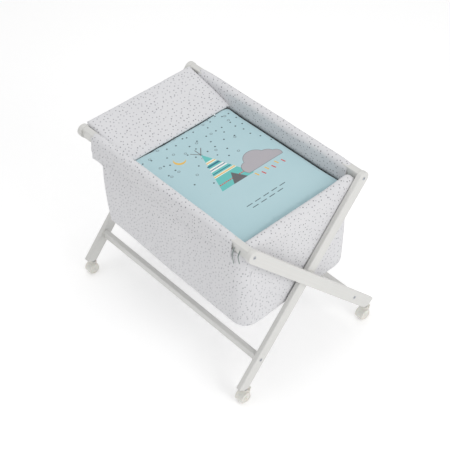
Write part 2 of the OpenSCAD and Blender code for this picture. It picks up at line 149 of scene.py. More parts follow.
class Shader:
    """A Principled material with short calls for adding and joining nodes."""

    def __init__(self, name, colour, roughness, **sockets):
        self.material = bpy.data.materials.new(name)
        self.material.use_nodes = True
        self.tree = self.material.node_tree
        self.principled = self.tree.nodes["Principled BSDF"]
        self.set("Base Color", colour if hasattr(colour, "links") else (*colour, 1))
        self.set("Roughness", roughness)
        for key, value in sockets.items():
            self.set(key.replace("_", " ").title(), value)
        self.material.diffuse_color = (*colour[:3], 1)

    def set(self, socket, value):
        self.plug(self.principled.inputs[socket], value)

    def plug(self, socket, value):
        if isinstance(value, bpy.types.NodeSocket):
            self.tree.links.new(value, socket)
        else:
            socket.default_value = value

    def node(self, kind, **values):
        """A node with its options set by name and its inputs by name with a leading i_."""
        node = self.tree.nodes.new("ShaderNode" + kind)
        for key, value in values.items():
            if key.startswith("i_"):
                self.plug(node.inputs[key[2:].replace("_", " ")], value)
            else:
                setattr(node, key, value)
        return node

    def math(self, operation, a, b=0.0, c=0.0):
        node = self.tree.nodes.new("ShaderNodeMath")
        node.operation = operation
        for socket, value in zip(node.inputs, (a, b, c)):
            self.plug(socket, value)
        return node.outputs[0]

    def mix(self, share, a, b):
        node = self.tree.nodes.new("ShaderNodeMix")
        node.data_type = "RGBA"
        self.plug(node.inputs["Factor"], share)
        for socket, value in (("A", a), ("B", b)):
            inputs = [i for i in node.inputs if i.name == socket and i.type == "RGBA"]
            self.plug(inputs[0], value if isinstance(value, bpy.types.NodeSocket) else (*value, 1))
        return [o for o in node.outputs if o.type == "RGBA"][0]

    def step(self, value, edge, soft):
        """0 below the edge and 1 above it, with a soft change between."""
        node = self.node("MapRange", interpolation_type="SMOOTHSTEP")
        self.plug(node.inputs["Value"], value)
        self.plug(node.inputs["From Min"], edge - soft)
        self.plug(node.inputs["From Max"], edge + soft)
        return node.outputs[0]

    def rest_place(self):
        """Place on the piece at rest, in metres, so that a weave stays on cloth that bends."""
        return self.node("Attribute", attribute_name="rest_place").outputs["Vector"]

    def cloth_place(self):
        """Place on the flat cloth before it was hung, in metres along and across."""
        return self.node("Attribute", attribute_name="cloth_place").outputs["Vector"]

    def place(self, scale=(1, 1, 1), turned=(0, 0, 0)):
        """Place on a rigid piece, along axes that are turned as the piece is, and then scaled."""
        mapping = self.node("Mapping", vector_type="TEXTURE")
        self.plug(mapping.inputs["Vector"], self.node("TexCoord").outputs["Object"])
        mapping.inputs["Scale"].default_value = [1 / k for k in scale]
        mapping.inputs["Rotation"].default_value = turned
        return mapping.outputs[0]

    def noise(self, vector, scale, detail=2.0, roughness=0.5):
        node = self.node("TexNoise", i_Vector=vector, i_Scale=scale, i_Detail=detail, i_Roughness=roughness)
        return node.outputs[0]

    def bump(self, height, distance, strength=1.0):
        node = self.node("Bump", i_Height=height, i_Distance=distance, i_Strength=strength)
        self.set("Normal", node.outputs[0])

    def weave(self, vector, thread=0.0009):
        """Height of a plain weave on any face of a solid, from waves along all three axes."""
        parts = self.node("SeparateXYZ", i_Vector=vector)
        turn = 2 * math.pi / thread
        waves = [self.math("SINE", self.math("MULTIPLY", parts.outputs[i], turn)) for i in range(3)]
        total = self.math("ADD", self.math("ADD", waves[0], waves[1]), waves[2])
        return self.math("MULTIPLY_ADD", total, 0.16, 0.5)


def floor_material():
    s = Shader("studio_floor", (0.965, 0.965, 0.965), 0.8, emission_color=(1, 1, 1, 1), emission_strength=0.2)
    return s.material


def lacquered_wood(name, tilt, along):
    """White satin lacquer on wood, with the grain along the board just showing through."""
    s = Shader(name, (0.672, 0.670, 0.650), 0.38, coat_weight=0.2, coat_roughness=0.2)
    stretch = [160, 160, 160]
    stretch[along] = 5
    vector = s.place(scale=stretch, turned=(tilt, 0, 0))
    grain = s.noise(vector, 1.0, 3.0, 0.55)
    blotch = s.noise(s.place(), 7.0, 2.0)
    tone = s.mix(s.step(grain, 0.52, 0.2), (0.648, 0.646, 0.624), (0.672, 0.670, 0.650))
    tone = s.mix(s.math("MULTIPLY", s.step(blotch, 0.5, 0.3), 0.35), tone, (0.69, 0.688, 0.672))
    s.set("Base Color", tone)
    s.set("Roughness", s.math("MULTIPLY_ADD", grain, 0.10, 0.32))
    s.bump(grain, 0.00006, 0.5)
    return s.material


def raw_wood(name, light, dark, rings):
    s = Shader(name, light, 0.62)
    wave = s.node("TexWave", wave_type="BANDS", bands_direction="Y", i_Scale=rings, i_Distortion=5.0,
                  i_Detail=2.0, i_Vector=s.place(scale=(0.12, 1, 1)))
    pores = s.noise(s.place(scale=(60, 900, 900)), 1.0, 2.0)
    tone = s.mix(wave.outputs[0], light, dark)
    s.set("Base Color", s.mix(s.math("MULTIPLY", s.step(pores, 0.62, 0.06), 0.5), tone, dark))
    s.bump(pores, 0.0002, 0.6)
    return s.material


def plated_steel():
    s = Shader("plated_steel", (0.50, 0.52, 0.55), 0.27, metallic=1.0)
    scratch = s.noise(s.place(scale=(400, 2500, 2500)), 1.0, 3.0)
    s.set("Roughness", s.math("MULTIPLY_ADD", scratch, 0.22, 0.18))
    s.bump(scratch, 0.00004, 0.5)
    return s.material


def turned_brass():
    s = Shader("turned_brass", (0.72, 0.52, 0.22), 0.3, metallic=1.0)
    lines = s.noise(s.place(scale=(3000, 60, 60)), 1.0, 2.0)
    s.set("Roughness", s.math("MULTIPLY_ADD", lines, 0.2, 0.2))
    s.bump(lines, 0.00004, 0.5)
    return s.material


def moulded_plastic():
    """Cream nylon with a faint moulded grain, scuffed a little on the treads."""
    s = Shader("moulded_plastic", (0.76, 0.74, 0.69), 0.3, coat_weight=0.15, subsurface_weight=0.05)
    grain = s.noise(s.place(), 2400.0, 2.0)
    scuff = s.noise(s.place(), 120.0, 4.0, 0.7)
    worn = s.math("MULTIPLY", s.step(scuff, 0.62, 0.1), 0.3)
    s.set("Base Color", s.mix(worn, (0.76, 0.74, 0.69), (0.64, 0.62, 0.57)))
    s.set("Roughness", s.math("MULTIPLY_ADD", scuff, 0.25, 0.2))
    s.bump(grain, 0.00005, 0.6)
    return s.material


def cotton(name, colour, shade, dots=True):
    """Woven cotton; the basket's has small grey dots scattered over it."""
    s = Shader(name, colour, 0.9, sheen_weight=0.2, sheen_roughness=0.5)
    vector = s.rest_place()
    cloud = s.noise(vector, 9.0, 3.0)
    tone = s.mix(s.step(cloud, 0.5, 0.25), colour, shade)
    if dots:
        cell = 0.0158
        spots = s.node("TexVoronoi", voronoi_dimensions="2D", i_Vector=s.cloth_place(), i_Scale=1 / cell,
                       i_Randomness=0.82)
        pick = s.node("SeparateColor", i_Color=spots.outputs["Color"])
        radius = s.math("MULTIPLY_ADD", pick.outputs[0], 0.045, 0.10)
        inside = s.math("SUBTRACT", radius, spots.outputs["Distance"])
        grey = s.mix(s.step(pick.outputs[1], 0.5, 0.4), (0.12, 0.12, 0.14), (0.34, 0.34, 0.37))
        tone = s.mix(s.math("MULTIPLY", s.step(inside, 0.0, 0.03), 0.9), tone, grey)
    s.set("Base Color", tone)
    crumple = s.math("MULTIPLY_ADD", s.noise(vector, 60.0, 3.0), 1.6, s.weave(vector))
    s.bump(crumple, 0.0004, 0.5)
    return s.material


def tape():
    """Grey-green cotton tape with a twill line across it."""
    s = Shader("tie_tape", (0.20, 0.25, 0.24), 0.85, sheen_weight=0.2)
    wave = s.node("TexWave", wave_type="BANDS", bands_direction="DIAGONAL", i_Scale=420.0,
                  i_Vector=s.rest_place())
    s.set("Base Color", s.mix(wave.outputs[0], (0.17, 0.21, 0.20), (0.24, 0.30, 0.28)))
    s.bump(wave.outputs[0], 0.0001, 0.6)
    return s.material


def ticking():
    """White cotton of the mattress cover; its quilting is in the mesh."""
    s = Shader("ticking", (0.88, 0.88, 0.86), 0.9, sheen_weight=0.2)
    vector = s.rest_place()
    cloud = s.step(s.noise(vector, 20.0), 0.5, 0.3)
    s.set("Base Color", s.mix(cloud, (0.88, 0.88, 0.86), (0.84, 0.84, 0.82)))
    s.bump(s.weave(vector), 0.0004, 0.5)
    return s.material


# ---------- the quilt's print ----------

class Print:
    """Plain printed shapes on the quilt, drawn in metres on its plan."""

    def __init__(self, shader, vector):
        self.s = shader
        parts = shader.node("SeparateXYZ", i_Vector=vector)
        self.x, self.y = parts.outputs[0], parts.outputs[1]
        self.soft = 0.0006

    def away(self, cx, cy):
        """Distance from a point."""
        s = self.s
        dx = s.math("SUBTRACT", self.x, cx)
        dy = s.math("SUBTRACT", self.y, cy)
        return s.math("SQRT", s.math("ADD", s.math("MULTIPLY", dx, dx), s.math("MULTIPLY", dy, dy)))

    def inside(self, depth):
        """A mask from how deep inside a shape a point lies, in metres."""
        return self.s.step(depth, 0.0, self.soft)

    def disc(self, cx, cy, r):
        return self.s.math("SUBTRACT", r, self.away(cx, cy))

    def along(self, angle, cx, cy):
        """Distance from a point, measured along a direction on the plan, in degrees."""
        s = self.s
        c, n = math.cos(math.radians(angle)), math.sin(math.radians(angle))
        run = s.math("MULTIPLY_ADD", self.x, c, -cx * c - cy * n)
        return s.math("MULTIPLY_ADD", self.y, n, run)

    def within(self, *depths):
        """The overlap of shapes."""
        total = depths[0]
        for depth in depths[1:]:
            total = self.s.math("MINIMUM", total, depth)
        return total

    def joined(self, *depths):
        total = depths[0]
        for depth in depths[1:]:
            total = self.s.math("MAXIMUM", total, depth)
        return total

    def bar(self, cx, cy, angle, length, width):
        """A straight bar with its middle at (cx, cy)."""
        s = self.s
        run = s.math("ABSOLUTE", self.along(angle, cx, cy))
        side = s.math("ABSOLUTE", self.along(angle + 90, cx, cy))
        return self.within(s.math("SUBTRACT", length / 2, run), s.math("SUBTRACT", width / 2, side))


def quilt_print():
    """Teal cotton with a plain tent, a cloud, a crescent, dashes, dots and rings."""
    teal, deep = (0.455, 0.64, 0.685), (0.435, 0.625, 0.67)
    s = Shader("printed_cotton", teal, 0.88, sheen_weight=0.3, sheen_roughness=0.5)
    vector = s.rest_place()
    p = Print(s, vector)
    tone = s.mix(s.step(s.noise(vector, 7.0, 3.0), 0.5, 0.3), teal, deep)
    foot, head = QUILT_HIGH.x, PANEL_HIGH.x
    length, half = foot - head, QUILT_HIGH.y

    def at(share, side):
        """Plan place from a share of the way to the foot end and a share of the half width."""
        return head + share * length, side * half

    # dots and rings, thinning out towards the foot end
    flat = s.node("CombineXYZ", i_X=p.x, i_Y=p.y, i_Z=0.0).outputs[0]
    fade = s.math("SUBTRACT", 0.95, s.math("MULTIPLY", s.math("SUBTRACT", p.x, head), 1.7 / length))
    for cell, ring in ((0.036, False), (0.071, True)):
        spots = s.node("TexVoronoi", voronoi_dimensions="2D", i_Vector=flat, i_Scale=1 / cell,
                       i_Randomness=0.8)
        pick = s.node("SeparateColor", i_Color=spots.outputs["Color"])
        reach = s.math("MULTIPLY", spots.outputs["Distance"], cell)
        if ring:
            depth = s.math("SUBTRACT", 0.0009, s.math("ABSOLUTE", s.math("SUBTRACT", reach, 0.0042)))
        else:
            depth = s.math("SUBTRACT", 0.0030, reach)
        shown = s.step(s.math("SUBTRACT", fade, pick.outputs[0]), 0.0, 0.01)
        colour = (0.14, 0.19, 0.21) if ring else (0.015, 0.035, 0.05)
        tone = s.mix(s.math("MULTIPLY", p.inside(depth), shown), tone, colour)

    # crescent
    cx, cy = at(0.19, -0.43)
    bite = s.math("SUBTRACT", p.away(cx - 0.007, cy + 0.006), 0.0215)
    tone = s.mix(p.inside(p.within(p.disc(cx, cy, 0.022), bite)), tone, (0.80, 0.50, 0.09))

    # tent: a triangle with bands of plain stripes, poles and a doorway
    top_x, top_y = at(0.24, -0.115)
    tall, lean = 0.188, 20.5
    down = p.along(0, top_x, top_y)
    left = p.along(90 - lean, top_x, top_y)
    right = p.along(-90 + lean, top_x, top_y)
    tent = p.within(s.math("MINIMUM", left, right), s.math("SUBTRACT", tall, down))
    poles = p.joined(*(p.bar(top_x - 0.012, top_y + 0.010 * k, -40 * k, 0.042, 0.0028) for k in (-1, 0, 1)))
    tone = s.mix(p.inside(poles), tone, (0.13, 0.11, 0.11))
    tone = s.mix(p.inside(tent), tone, (0.13, 0.53, 0.50))
    white, navy, mustard = (0.86, 0.86, 0.84), (0.02, 0.16, 0.25), (0.80, 0.50, 0.09)
    bands = ((0.050, 0.014, white), (0.066, 0.008, navy), (0.086, 0.018, white), (0.106, 0.004, navy),
             (0.120, 0.012, white))
    for start, width, colour in bands:
        across = s.math("SUBTRACT", width / 2, s.math("ABSOLUTE", s.math("SUBTRACT", down, start)))
        tone = s.mix(p.inside(p.within(tent, across)), tone, colour)
    side = s.math("SUBTRACT", p.y, top_y)
    red = (0.62, 0.06, 0.06)
    beads = ((0.050, 0.013, 0.0032, mustard), (0.086, 0.011, 0.0026, navy),
             (0.120, 0.015, 0.0036, mustard), (0.162, 0.017, 0.0030, red))
    for start, pitch, size, colour in beads:
        cell = s.math("SUBTRACT", s.math("PINGPONG", side, pitch / 2), pitch / 4)
        drop = s.math("SUBTRACT", down, start)
        reach = s.math("SQRT", s.math("ADD", s.math("MULTIPLY", cell, cell), s.math("MULTIPLY", drop, drop)))
        tone = s.mix(p.inside(p.within(tent, s.math("SUBTRACT", size, reach))), tone, colour)
    door_x, door_y = top_x + 0.136, top_y + 0.012
    door = p.within(p.along(60, door_x, door_y), p.along(-60, door_x, door_y),
                    s.math("SUBTRACT", tall, down))
    tone = s.mix(p.inside(door), tone, (0.12, 0.12, 0.13))

    # cloud of overlapping discs with a few short strokes of rain
    cx, cy = at(0.50, 0.42)
    lumps = ((0.0, 0.0, 0.044), (0.016, 0.040, 0.032), (0.018, -0.042, 0.030), (0.026, 0.068, 0.020))
    cloud = p.joined(*(p.disc(cx + dx, cy + dy, r) for dx, dy, r in lumps))
    cloud = p.within(cloud, s.math("SUBTRACT", cx + 0.038, p.x))
    tone = s.mix(p.inside(s.math("ADD", cloud, 0.0018)), tone, (0.20, 0.18, 0.20))
    tone = s.mix(p.inside(cloud), tone, (0.44, 0.42, 0.45))
    for k in range(6):
        drop = p.bar(cx + 0.060 + 0.010 * (k % 2), cy - 0.052 + 0.022 * k, 12, 0.018, 0.005)
        tone = s.mix(p.inside(drop), tone, red if k % 2 else mustard)

    # two rows of dashes
    for row in range(2):
        for k in range(5 - row):
            bx, by = at(0.78 + 0.03 * row, -0.34 + 0.16 * k + 0.05 * row)
            tone = s.mix(p.inside(p.bar(bx, by, 90, 0.024, 0.003)), tone, (0.05, 0.08, 0.10))
    s.set("Base Color", tone)
    crumple = s.math("MULTIPLY_ADD", s.noise(vector, 40.0, 3.0), 1.4, s.weave(vector))
    s.bump(crumple, 0.0005, 0.5)
    return s.material


# ---------- mesh helpers ----------

def new_mesh(name, points, faces):
    data = bpy.data.meshes.new(name)
    data.from_pydata([tuple(p) for p in points], [], faces)
    obj = bpy.data.objects.new(name, data)
    SCENE.collection.objects.link(obj)
    return obj


def unrolled(rows):
    """Lengths along each row, from its middle point, and down each column, in metres."""
    grid = np.array([[tuple(p) for p in row] for row in rows])
    along = np.linalg.norm(np.diff(grid, axis=1), axis=2).cumsum(axis=1)
    along = np.hstack([np.zeros((len(rows), 1)), along])
    along -= along[:, [along.shape[1] // 2]]
    down = np.linalg.norm(np.diff(grid, axis=0), axis=2).cumsum(axis=0)
    down = np.vstack([np.zeros((1, grid.shape[1])), down])
    return np.dstack([along, down, np.zeros_like(along)])


def loft(name, rows, closed=False):
    """A skin over rows of points; closed joins each row's ends."""
    count = len(rows[0])
    faces = []
    for i in range(len(rows) - 1):
        for j in range(count if closed else count - 1):
            k = (j + 1) % count
            faces.append((i * count + j, i * count + k, (i + 1) * count + k, (i + 1) * count + j))
    obj = new_mesh(name, [p for row in rows for p in row], faces)
    flat = obj.data.attributes.new("cloth_place", "FLOAT_VECTOR", "POINT")
    flat.data.foreach_set("vector", unrolled(rows).astype(np.float32).ravel())
    return obj


def settle(obj):
    """Applies the piece's modifiers, shades it smooth and makes its faces point outwards."""
    bpy.context.view_layer.update()
    graph = bpy.context.evaluated_depsgraph_get()
    data = bpy.data.meshes.new_from_object(obj.evaluated_get(graph))
    obj.modifiers.clear()
    obj.data = data
    work = bmesh.new()
    work.from_mesh(data)
    bmesh.ops.remove_doubles(work, verts=work.verts, dist=1e-5)
    bmesh.ops.recalc_face_normals(work, faces=work.faces)
    for face in work.faces:
        face.smooth = True
    work.to_mesh(data)
    work.free()
    return obj


def thicken(obj, depth, levels=1):
    """Gives a skin a thickness behind it and rounds it off."""
    solid = obj.modifiers.new("solid", "SOLIDIFY")
    solid.thickness = depth
    solid.offset = -1
    solid.use_even_offset = True
    rounding = obj.modifiers.new("smooth", "SUBSURF")
    rounding.levels = rounding.render_levels = levels
    return settle(obj)


def ripple(obj, height, size, seed):
    """Moves points along their normals by smooth noise, for soft uneven cloth."""
    normals = [v.normal.copy() for v in obj.data.vertices]
    for vertex, normal in zip(obj.data.vertices, normals):
        at = Vector(vertex.co) / size + Vector((seed * 7.3, seed * 3.1, seed * 5.7))
        vertex.co += normal * (height * noise.noise(at))
    return obj


def inflate(obj, voxel, pressure, cap, frames=20):
    """Puffs a closed piece up as cloth under pressure, no point moving further than cap."""
    remesh = obj.modifiers.new("remesh", "REMESH")
    remesh.mode = "VOXEL"
    remesh.voxel_size = voxel
    settle(obj)
    start = np.array([v.co for v in obj.data.vertices])
    cloth = obj.modifiers.new("cloth", "CLOTH")
    cloth.settings.quality = 5
    cloth.settings.mass = 0.3
    cloth.settings.tension_stiffness = 15
    cloth.settings.bending_stiffness = 0.5
    cloth.settings.use_pressure = True
    cloth.settings.uniform_pressure_force = pressure
    cloth.settings.effector_weights.gravity = 0
    cloth.collision_settings.use_collision = False
    cloth.point_cache.frame_start = 1
    cloth.point_cache.frame_end = frames
    for number in range(1, frames + 1):
        SCENE.frame_set(number)
    bpy.context.view_layer.update()
    graph = bpy.context.evaluated_depsgraph_get()
    puffed = obj.evaluated_get(graph).to_mesh()
    end = np.array([v.co for v in puffed.vertices])
    obj.modifiers.clear()
    SCENE.frame_set(1)
    moved = end - start
    far = np.linalg.norm(moved, axis=1, keepdims=True)
    kept = start + moved * np.minimum(1.0, cap / np.maximum(far, 1e-9))
    obj.data.vertices.foreach_set("co", kept.astype(np.float32).ravel())
    obj.data.update()
    return obj


def rounded_slab(name, low, high, corner, edge, rings=5):
    """A closed slab with round corners on plan and rounded edges."""
    cx, cy = (low.x + high.x) / 2, (low.y + high.y) / 2
    hx, hy = (high.x - low.x) / 2, (high.y - low.y) / 2
    outline = []
    for quarter in range(4):
        for step in range(9):
            angle = math.radians(90 * quarter + 90 * step / 8)
            sx = 1 if quarter in (0, 3) else -1
            sy = 1 if quarter in (0, 1) else -1
            outline.append((sx * (hx - corner) + corner * math.cos(angle),
                            sy * (hy - corner) + corner * math.sin(angle)))
    rows = []
    for ring in range(2 * rings + 2):
        top = ring > rings
        turn = math.radians(90 * ((ring - rings - 1) if top else (rings - ring)) / rings)
        inset = edge * (1 - math.cos(turn))
        z = high.z - edge + edge * math.sin(turn) if top else low.z + edge - edge * math.sin(turn)
        rows.append([Vector((cx + x * (1 - inset / hx), cy + y * (1 - inset / hy), z)) for x, y in outline])
    obj = loft(name, rows, closed=True)
    work = bmesh.new()
    work.from_mesh(obj.data)
    bmesh.ops.holes_fill(work, edges=[e for e in work.edges if e.is_boundary], sides=0)
    work.to_mesh(obj.data)
    work.free()
    return obj


def finish_cloth(obj, body, material, nodes, keep=None):
    """Rest place, material and body of a soft piece whose mesh is final; it hides the frame's nodes that it
    stands in for and, when keep is given, gives the piece a mesh of its own.
    """
    data = obj.data
    rest = data.attributes.new("rest_place", "FLOAT_VECTOR", "POINT")
    co = np.empty(len(data.vertices) * 3, np.float32)
    data.vertices.foreach_get("co", co)
    rest.data.foreach_set("vector", co)
    data.materials.clear()
    data.materials.append(material)
    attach(obj, body)
    if nodes:
        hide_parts(*nodes)
    if keep:
        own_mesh(obj)
    return obj


# ---------- the basket ----------

WALL_KEEP = 0.30
BED_KEEP = 0.20
SLEEVE_R = 0.0200
FLANK = 0.0170
WALL_GAP = 0.0012
WALL_TOP_Y = -RAIL_NEAR.y + SLEEVE_R - WALL_GAP
HEAD_TOP_X = FLOOR_LOW.x - 0.008
HEAD_FOOT_X = FLOOR_LOW.x - 0.016
KNEE_Z = RAIL_NEAR.z - 0.080
CORNER = 0.044
NEAR_LOW_Y = 0.262
FAR_LOW_Y = 0.233
BOTTOM_BAND = 0.035


def smooth(share):
    share = min(1.0, max(0.0, share))
    return share * share * (3 - 2 * share)


def hem_rise(x):
    """How much higher the basket's bottom hem hangs towards the head end."""
    return 0.016 * smooth((0.10 - x) / 0.4)


def sleeve_section():
    """Section of the padding round a rail, as (out from the rail, up) points, from the outer hem."""
    rise = 0.0030
    points = [(SLEEVE_R + 0.0022, -0.046), (SLEEVE_R + 0.0014, -0.032), (SLEEVE_R + 0.0006, -0.018),
              (SLEEVE_R, -0.006)]
    for step in range(13):
        angle = math.radians(180 * step / 12)
        reach = SLEEVE_R if step < 6 else FLANK
        points.append((reach * math.cos(angle), rise + 0.0205 * math.sin(angle)))
    points += [(-FLANK, -0.012), (-FLANK - 0.0005, -0.026), (-FLANK - 0.001, -0.040),
               (-FLANK - 0.001, -0.053), (-FLANK + 0.001, -0.055), (-FLANK + 0.001, -0.040),
               (-0.0150, -0.030), (-0.011, -0.0245), (0.0, -0.0235),
               (0.011, -0.0245), (0.0165, -0.028)]
    return points


def make_sleeve(side, name, node, body, material):
    """Padded tunnel round a rail, whose outer hem lies flat on the basket's side and whose inner flank
    reaches down to the quilt; it hugs the rail at both ends."""
    low, high = SLEEVES[side]
    rail = RAIL_NEAR if side < 0 else RAIL_FAR
    section = sleeve_section()
    rows = []
    count = 90
    for i in range(count + 1):
        share = i / count
        x = low.x + 0.003 + share * (high.x - low.x - 0.003)
        to_end = min(x - low.x, high.x - x)
        hug = 1 - 0.20 * math.exp(-to_end / 0.022)
        swell = hug + 0.04 * noise.noise(Vector((x * 5, 2.0, side)))
        row = []
        for j, (out, up) in enumerate(section):
            wave = 0.0009 * noise.noise(Vector((x * 14, j * 0.5, side * 4.0)))
            free = smooth((up + 0.030) / 0.024)
            gather = 0.0010 * math.exp(-to_end / 0.018) * math.sin(j * 2.1 + x * 300)
            out_here = out * (1 + (swell - 1) * free) + (wave + gather) * free
            up_here = up * (swell if up > 0 else 1) + wave
            row.append(Vector((x, rail.y + side * out_here, rail.z + up_here)))
        rows.append(row)
    obj = loft(name, rows)
    thicken(obj, 0.0016 * -side)
    return finish_cloth(obj, body, material, [node])


def far_half(fall):
    """Half width of the basket on its far side, where the cloth hangs in towards the bottom."""
    return WALL_TOP_Y + (FAR_LOW_Y - WALL_TOP_Y) * smooth(fall * 2)


def walls_plan(fall):
    """Outline of the walls at a height, from the near head edge round the foot end to the far one.

    Each point is (x, y, outward angle). The top hangs from the rails and the bottom is a little
    narrower, more so on the far side, as the cloth hangs."""
    head_x = HEAD_TOP_X + (HEAD_FOOT_X - HEAD_TOP_X) * fall
    foot_x = FOOT_HIGH.x + 0.0035 - 0.004 * smooth((fall - 0.5) * 2)
    half = {-1: WALL_TOP_Y + (NEAR_LOW_Y - WALL_TOP_Y) * fall, 1: far_half(fall)}
    corners = {-1: CORNER + 0.012 * fall, 1: CORNER + 0.032 * smooth(fall * 3)}

    def end(side):
        corner = corners[side]
        corner_x = foot_x - corner
        y = half[side] - corner
        points = [(head_x + (corner_x - head_x) * k / 52, side * half[side], side * math.pi / 2)
                  for k in range(52)]
        for k in range(11):
            angle = math.radians(90 - 9 * k)
            points.append((corner_x + corner * math.cos(angle), side * (y + corner * math.sin(angle)),
                           side * angle))
        return points + [(foot_x, side * y * (1 - k / 18), 0.0) for k in range(1, 19)]

    near, far = end(-1), end(1)
    return near + far[-2::-1]


def walls_profile():
    """Rows of the walls from the inside of the top, over the roll, down and under the bottom.

    Each is (fall, turn over the roll in degrees or 0, depth below its inner side, tuck under in degrees)."""
    rows = [(0.0, 180, 0.034, 0), (0.0, 180, 0.016, 0)]
    rows += [(0.0, turn, 0.0, 0) for turn in range(180, 0, -18)]
    rows += [(k / 26 * (1 - BOTTOM_BAND), 0, 0.0, 0) for k in range(27)]
    rows += [(1 - BOTTOM_BAND + BOTTOM_BAND * math.sin(math.radians(a)), 0, 0.0, a) for a in (30, 60, 90)]
    return rows + [(1.0, 0, 0.0, 100)]


def make_walls(material):
    """Both sides and the foot end of the basket in one skin, with a padded roll along the foot's top."""
    rows = []
    for fall, turn, below, tuck in walls_profile():
        row = []
        for x, y, angle in walls_plan(fall):
            foot = math.cos(angle)
            inner = smooth((0.241 - abs(y)) / 0.014) * smooth(foot * 3 - 2)
            roll = 0.0035 + 0.0165 * inner
            top_z = RAIL_NEAR.z - 0.0215 + (0.004 + 0.006 * smooth((y - 0.12) / 0.10)) * inner
            if foot < 0.02:
                top_z = RAIL_NEAR.z - 0.016
            bottom = BASKET_Z - 0.001 + hem_rise(x) * (1 - foot)
            bottom += 0.003 * foot * smooth((0.20 - abs(y)) / 0.20)
            bottom -= 0.005 * smooth((x - 0.1) / 0.25) * smooth(-y / 0.2)
            z = top_z + (bottom - top_z) * fall
            out = 0.0
            if turn:
                out = -roll + roll * math.cos(math.radians(turn))
                z += 0.95 * roll * math.sin(math.radians(turn)) - below
            if tuck:
                out = -0.014 * (1 - math.cos(math.radians(min(tuck, 90)))) - (0.010 if tuck > 90 else 0)
            hang = math.sin(math.pi * min(1.0, fall))
            free = smooth(fall * 5) * (1 if not tuck else 0.3)
            soft = 0.0034 * noise.noise(Vector((x * 4.5, y * 4.5, z * 5)))
            soft += 0.0012 * noise.noise(Vector((x * 20, y * 20, z * 10)))
            soft *= 1 - 0.75 * foot * smooth((0.24 - abs(y)) / 0.03)
            dent = 0.0035 * foot * math.exp(-(y ** 2 + (z - PIVOT_Z) ** 2) / 0.0006)
            belly = 0.004 * hang * (1 - foot) - 0.001 * hang * foot * inner
            crease = math.sin(2 * angle) ** 2 * math.sin(9 * angle) * math.exp(-fall * 9)
            out += (soft + belly) * free - dent + 0.0016 * crease * (0 if turn else 1)
            row.append(Vector((x + out * math.cos(angle), y + out * math.sin(angle), z)))
        rows.append(row)
    obj = loft("basket_walls", rows)
    thicken(obj, -0.0045)
    nodes = ["side_wall_near", "side_wall_far", "foot_wall", "foot_roll"]
    return finish_cloth(obj, "basket", material, nodes, WALL_KEEP)


def make_corner_flap(side, name, material):
    """Head end of the wide band under a rail, which reaches past the basket's corner."""
    rail = RAIL_NEAR if side < 0 else RAIL_FAR
    low, high = SLEEVES[side]
    top_z = rail.z - 0.018
    start = low.x + 0.003
    rows = []
    for i in range(11):
        fall = i / 10
        row = []
        for j in range(13):
            run = j / 12
            x = start + 0.002 + run * 0.074 - 0.016 * fall * (1 - run)
            z = top_z - fall * 0.069
            out = WALL_TOP_Y - 0.0006 - 0.004 * fall + 0.0014 * math.sin(7 * run + 2 * fall) * fall
            row.append(Vector((x, side * out, z)))
        rows.append(row)
    obj = loft(name, rows)
    thicken(obj, 0.003 * side)
    return finish_cloth(obj, "basket", material, [], WALL_KEEP)


def make_tie(name, x, top, drop, material):
    """Narrow tape that hangs from the near rail over the basket's foot corner."""
    rows = []
    for i in range(15):
        fall = i / 14
        out = 0.0016 + 0.0095 * smooth(fall * 2.2) + 0.001 * math.sin(5 * fall)
        y = RAIL_NEAR.y - half_width("rail_near") - out
        sway = 0.004 * fall ** 2
        rows.append([Vector((x + sway + (k - 1.5) * 0.0014, y - 0.0003 * math.sin(k), top - drop * fall))
                     for k in range(4)])
    obj = loft(name, rows)
    thicken(obj, 0.0009)
    return finish_cloth(obj, "frame_a", material, [])


def make_head_wall(material):
    """Head wall, upright at first and then leaning out to a padded roll at its top."""
    half = HEAD_HIGH.y - 0.004
    low_x = HEAD_HIGH.x - 0.004
    top_x, top_z = HEAD_ROLL.x - 0.012, HEAD_ROLL.z
    section = [(low_x + 0.010, BASKET_Z + 0.002), (low_x, BASKET_Z + 0.012)]
    for step in range(1, 15):
        z = BASKET_Z + 0.012 + (top_z - BASKET_Z - 0.012) * step / 14
        section.append((low_x + (top_x - low_x) * max(0.0, z - KNEE_Z) / (top_z - KNEE_Z), z))
    for step in range(1, 9):
        turn = math.radians(180 * step / 8)
        section.append((top_x + 0.014 - 0.014 * math.cos(turn), top_z + 0.014 * math.sin(turn)))
    section.append((top_x + 0.030, top_z - 0.03))
    rows = []
    for i in range(41):
        row = []
        for x, z in section:
            fall = max(0.0, RAIL_NEAR.z - z) / (RAIL_NEAR.z - BASKET_Z)
            y = -half + (half + min(half, far_half(fall) - 0.004)) * i / 40
            row.append(Vector((x + 0.004 * noise.noise(Vector((y * 7, z * 7, 5.5))), y, z)))
        rows.append(row)
    obj = loft("basket_head_wall", rows)
    thicken(obj, 0.004)
    return finish_cloth(obj, "basket", material, ["head_wall", "head_roll"], WALL_KEEP)


def make_basket_floor(material):
    """Bottom of the basket, sagging a little between its hems."""
    rows = []
    for i in range(31):
        x = FLOOR_LOW.x + (FLOOR_HIGH.x - 0.010 - FLOOR_LOW.x) * i / 30
        row = []
        for j in range(41):
            share = j / 40
            reach = FLOOR_HIGH.y - (0.004 if share < 0.5 else 0.030)
            y = (2 * share - 1) * (reach - max(0.0, x - FLOOR_HIGH.x + 0.09) ** 2 * 9)
            sag = 0.0015 * math.sin(math.pi * share) * math.sin(math.pi * i / 30)
            z = FLOOR_LOW.z + 0.0025 - sag + 0.0006 * noise.noise(Vector((x * 12, y * 12, 1)))
            row.append(Vector((x, y, z + hem_rise(x) * smooth((abs(y) - 0.212) / 0.012))))
        rows.append(row)
    obj = loft("basket_bottom", rows)
    thicken(obj, 0.002, 1)
    return finish_cloth(obj, "basket", material, ["basket_floor"], WALL_KEEP)


